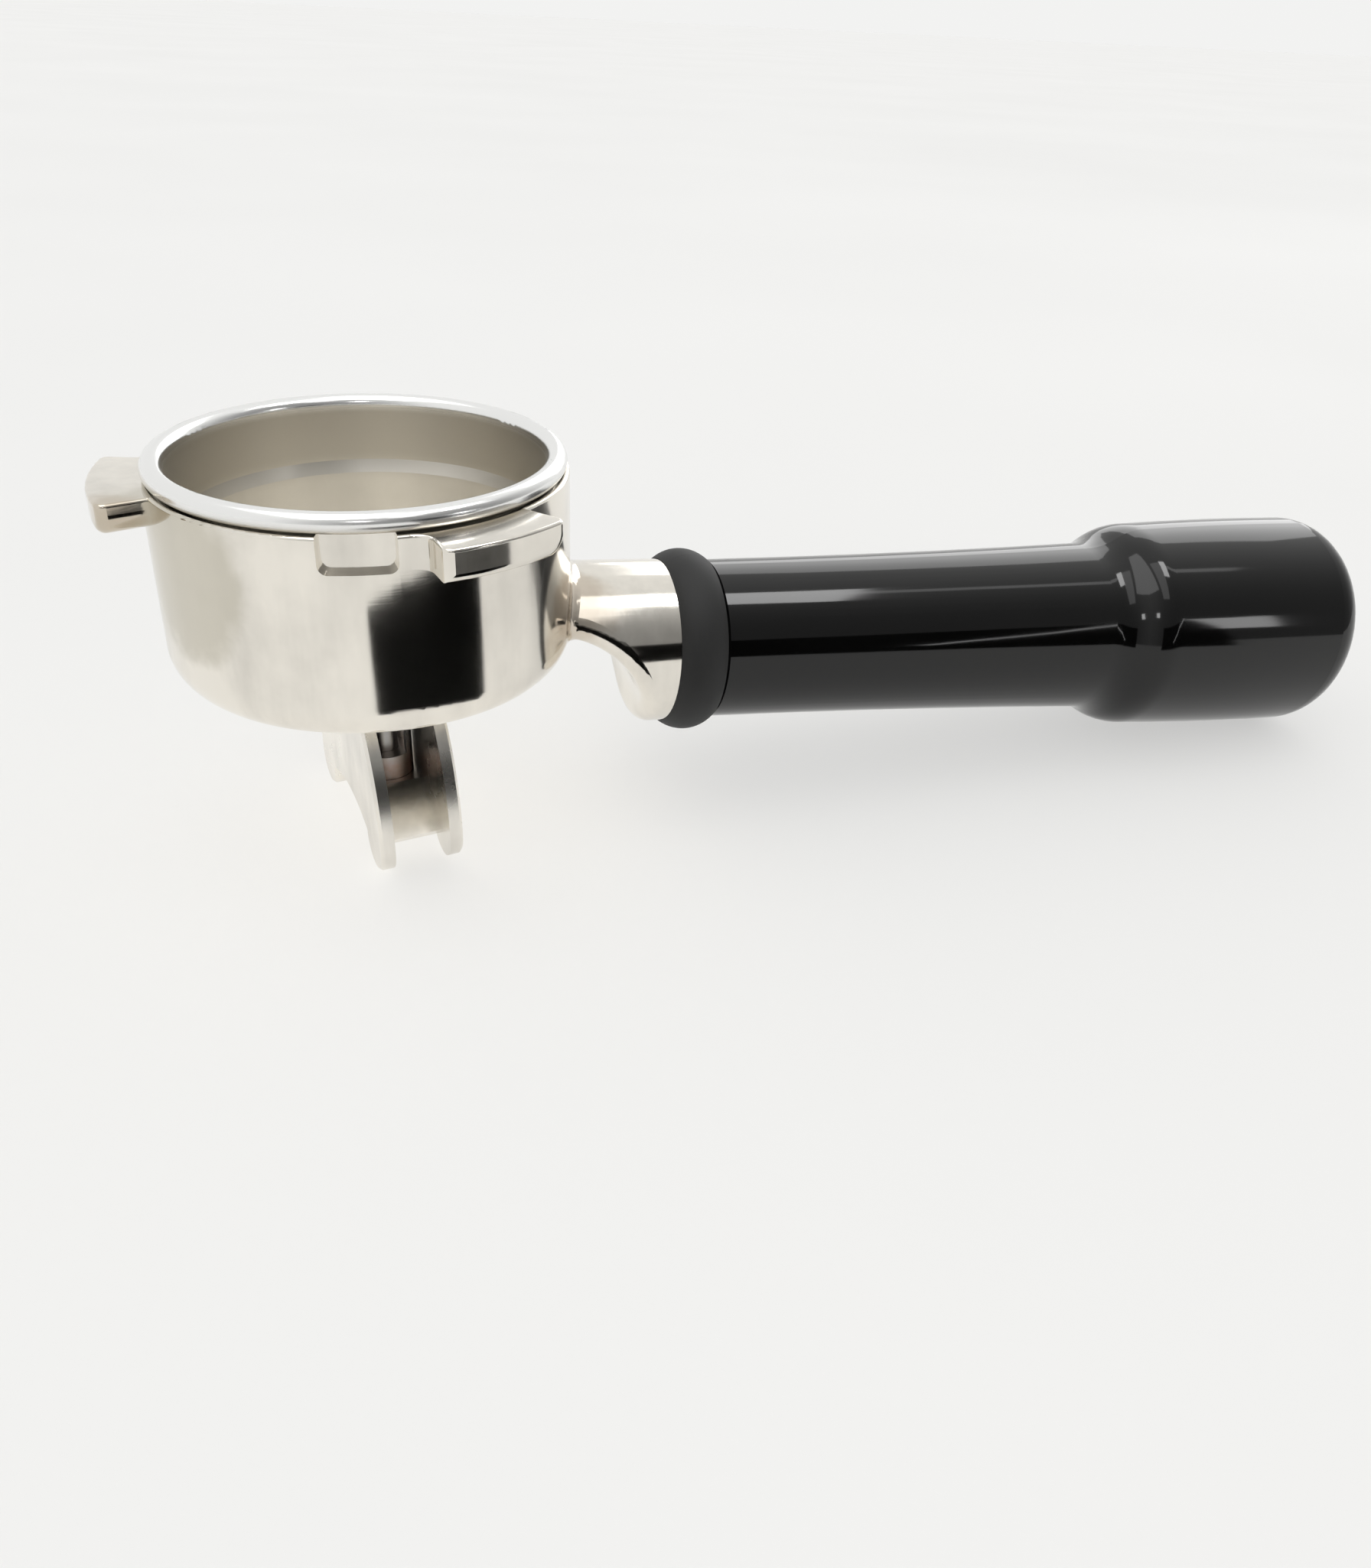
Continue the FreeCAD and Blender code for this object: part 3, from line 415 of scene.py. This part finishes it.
def make_flags():
    """Dark cloths in front, which give the cup, its near lug and the grip their dark reflections."""
    make_screen(
        "cup_flag", centre=(0.006, -0.030), radius=0.046, turns=(-109, -27),
        foot=0.0, tops=(0.0325, 0.040), grey=0.005,
    )
    make_screen(
        "lug_flag", centre=(0.012, -0.030), radius=0.048, turns=(-72, -33),
        foot=0.036, tops=(0.044, 0.048), grey=0.14,
    )
    make_screen(
        "grip_flag", centre=(0.120, 0.0), radius=0.33, turns=(-92, -50),
        foot=0.0, tops=(0.135, 0.135), grey=0.003,
    )


def gloss_lamp(name, width, start, end, target, power):
    """A soft panel of light from start to end, facing a target, which lights gloss but not matte.

    The power is in watts.
    """
    start, end = Vector(start), Vector(end)
    light = bpy.data.lights.new(name, "AREA")
    light.shape = "RECTANGLE"
    light.size = width
    light.size_y = (end - start).length
    light.energy = power
    lamp = bpy.data.objects.new(name, light)
    bpy.context.scene.collection.objects.link(lamp)
    middle = (start + end) / 2
    along = (end - start).normalized()
    across = along.cross(middle - Vector(target)).normalized()
    turn = Matrix((across, along, across.cross(along))).transposed()
    lamp.matrix_world = Matrix.Translation(middle) @ turn.to_4x4()
    lamp.visible_diffuse = False


def room_light():
    """A pale room that gloss sees bright behind and dim in front, and matte surfaces see as even."""
    world = bpy.data.worlds.new("room")
    world.use_nodes = True
    tree = world.node_tree
    place = tree.nodes.new("ShaderNodeTexCoord")
    toward = tree.nodes.new("ShaderNodeVectorMath")
    toward.operation = "DOT_PRODUCT"
    toward.inputs[1].default_value = AWAY_FROM_DARK
    tree.links.new(place.outputs["Generated"], toward.inputs[0])
    shade = tree.nodes.new("ShaderNodeMapRange")
    shade.interpolation_type = "SMOOTHSTEP"
    limits = {"From Min": BRIGHTENS, "From Max": FULLY_BRIGHT, "To Min": FRONT, "To Max": BACK}
    for name, value in limits.items():
        shade.inputs[name].default_value = value
    tree.links.new(toward.outputs["Value"], shade.inputs["Value"])
    ray = tree.nodes.new("ShaderNodeLightPath")
    strength = shade.outputs["Result"]
    for kind, value in (("Is Diffuse Ray", AMBIENT), ("Is Camera Ray", HORIZON)):
        choice = tree.nodes.new("ShaderNodeMix")
        tree.links.new(ray.outputs[kind], choice.inputs["Factor"])
        tree.links.new(strength, choice.inputs["A"])
        choice.inputs["B"].default_value = value
        strength = choice.outputs["Result"]
    background = tree.nodes["Background"]
    tree.links.new(strength, background.inputs["Strength"])
    background.inputs["Color"].default_value = (1.0, 1.0, 0.99, 1)
    bpy.context.scene.world = world


def table_light(power):
    """Even light from overhead that casts no shadow, so the table stays pale everywhere."""
    light = bpy.data.lights.new("overhead", "SUN")
    light.energy = power
    light.angle = math.radians(30)
    light.use_shadow = False
    lamp = bpy.data.objects.new("overhead", light)
    bpy.context.scene.collection.objects.link(lamp)
    lamp.visible_glossy = False


def light_room():
    """Even light on the table, and panels where the polished metal and the grip show them.

    A panel is named after where it hangs, or after the piece that shows it.
    """
    table_light(1.98)
    room_light()
    cup = (0, 0, -0.01)
    grip = (0.11, 0, -0.03)
    gloss_lamp("over_cup", 0.50, (-0.17, -0.50, 0.75), (-0.17, 0.25, 0.75), cup, 1.9)
    gloss_lamp("back_wall", 0.80, (0.70, 0.95, 0.10), (0.90, 0.75, 1.00), grip, 3.4)
    gloss_lamp("neck_fill", 0.26, (0.27, -0.85, 0.90), (0.27, -0.02, 0.90), grip, 0.7)
    gloss_lamp("collar_lamp", 0.17, (0.485, -0.31, 0.90), (0.485, 0.0, 0.90), grip, 1.15)
    gloss_lamp("grip_lamp", 0.07, (0.58, -0.10, 0.90), (1.0, -0.16, 0.90), grip, 0.12)
    gloss_lamp("grip_streak", 0.004, (0.222, -0.278, -0.025), (0.306, -0.229, 0.070), grip, 0.008)
    gloss_lamp("end_streak", 0.12, (0.77, -0.77, 0.14), (0.79, -0.74, 0.30), grip, 0.30)
    gloss_lamp("shoulder_lamp", 0.10, (-0.11, -0.83, 0.45), (-0.11, -0.83, 0.55), grip, 0.25)


# ---------------------------------------------------------------- camera

def make_camera():
    """The photograph's viewing angle."""
    camera = bpy.data.cameras.new("camera")
    camera.sensor_fit = "HORIZONTAL"
    camera.sensor_width = SENSOR_MM
    camera.lens = LENS_MM
    camera.clip_start = 0.01
    view = bpy.data.objects.new("camera", camera)
    bpy.context.scene.collection.objects.link(view)
    forward = Vector(CAMERA_FORWARD).normalized()
    right = forward.cross(Vector(CAMERA_UP)).normalized()
    up = right.cross(forward)
    turn = Matrix((right, up, -forward)).transposed()
    view.matrix_world = Matrix.Translation(CAMERA_PLACE) @ turn.to_4x4()
    bpy.context.scene.camera = view


finish_cad_nodes()
make_floor()
make_flags()
light_room()
make_camera()
bpy.context.scene.view_settings.view_transform = "Standard"
